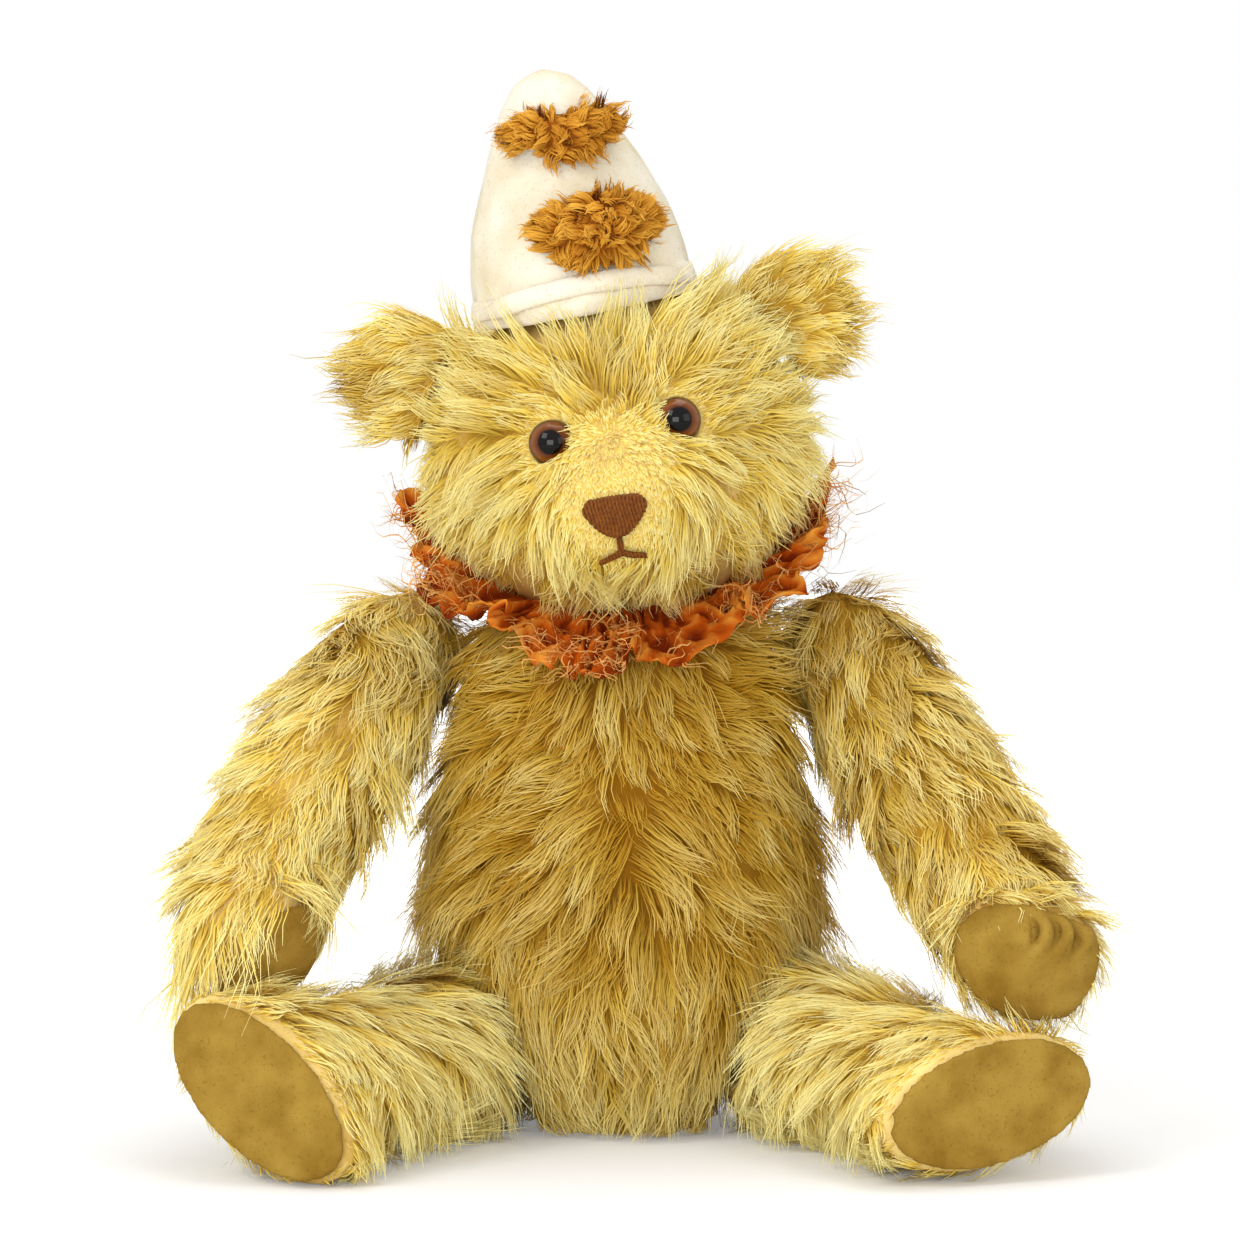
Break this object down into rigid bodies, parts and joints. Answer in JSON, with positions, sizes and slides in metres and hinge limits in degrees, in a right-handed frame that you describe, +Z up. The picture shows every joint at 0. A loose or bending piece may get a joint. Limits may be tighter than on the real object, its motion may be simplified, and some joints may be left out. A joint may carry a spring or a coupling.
{
  "type": "teddy bear",
  "caption": "Worn golden mohair teddy bear, jointed at neck, shoulders and hips, seated in a cream felt clown hat with wool pompoms and a frayed orange ruff.",
  "frame": {"origin": "middle of the flat seat under the torso, on the floor", "axes": "+Z up, -Y the way the bear faces, +X to the bear's own left"},
  "size_m": [0.2697, 0.1962, 0.3218],
  "materials": {
    "mohair": "matte",
    "tan_felt": "matte",
    "brown_glass": "gloss",
    "brown_thread": "satin",
    "cream_felt": "matte",
    "orange_wool": "matte",
    "orange_cotton": "matte",
    "board": "matte",
    "steel": "satin"
  },
  "bodies": {
    "torso": {"torso": "mohair", "neck_torso_disc": "board", "neck_torso_washer": "steel", "shoulder_left_torso_disc": "board", "shoulder_left_torso_washer": "steel", "shoulder_right_torso_disc": "board", "shoulder_right_torso_washer": "steel", "hip_left_torso_disc": "board", "hip_left_torso_washer": "steel", "hip_right_torso_disc": "board", "hip_right_torso_washer": "steel"},
    "head": {"head": "mohair", "ear_left": "mohair", "ear_right": "mohair", "eye_left": "brown_glass", "eye_right": "brown_glass", "nose": "brown_thread", "mouth": "brown_thread", "hat": "cream_felt", "hat_pompom_lower": "orange_wool", "hat_pompom_upper": "orange_wool", "neck_ruff": "orange_cotton", "neck_head_disc": "board", "neck_head_washer": "steel", "neck_cotter_pin": "steel"},
    "arm_left": {"arm_left": "mohair", "paw_pad_left": "tan_felt", "shoulder_left_arm_disc": "board", "shoulder_left_arm_washer": "steel", "shoulder_left_cotter_pin": "steel"},
    "arm_right": {"arm_right": "mohair", "paw_pad_right": "tan_felt", "shoulder_right_arm_disc": "board", "shoulder_right_arm_washer": "steel", "shoulder_right_cotter_pin": "steel"},
    "leg_left": {"leg_left": "mohair", "foot_pad_left": "tan_felt", "hip_left_leg_disc": "board", "hip_left_leg_washer": "steel", "hip_left_cotter_pin": "steel"},
    "leg_right": {"leg_right": "mohair", "foot_pad_right": "tan_felt", "hip_right_leg_disc": "board", "hip_right_leg_washer": "steel", "hip_right_cotter_pin": "steel"}
  },
  "joints": [
    {"name": "neck_turn", "type": "hinge", "parent": "torso", "child": "head", "pos_m": [0, -0.004, 0.164], "axis": [-0.0332, -0.309, 0.9505], "range_deg": [-60, 60]},
    {"name": "shoulder_left_raise", "type": "hinge", "parent": "torso", "child": "arm_left", "pos_m": [0.04889, 0.00759, 0.13625], "axis": [-0.9131, -0.161, -0.3746], "range_deg": [0, 42]},
    {"name": "shoulder_right_raise", "type": "hinge", "parent": "torso", "child": "arm_right", "pos_m": [-0.04889, 0.00759, 0.13625], "axis": [-0.9131, 0.161, 0.3746], "range_deg": [0, 38]},
    {"name": "hip_left_lower", "type": "hinge", "parent": "torso", "child": "leg_left", "pos_m": [0.031, -0.014, 0.02976], "axis": [0.9192, 0.3345, -0.2079], "range_deg": [0, 85]},
    {"name": "hip_right_lower", "type": "hinge", "parent": "torso", "child": "leg_right", "pos_m": [-0.031, -0.014, 0.02976], "axis": [0.9192, -0.3345, 0.2079], "range_deg": [0, 85]}
  ]
}
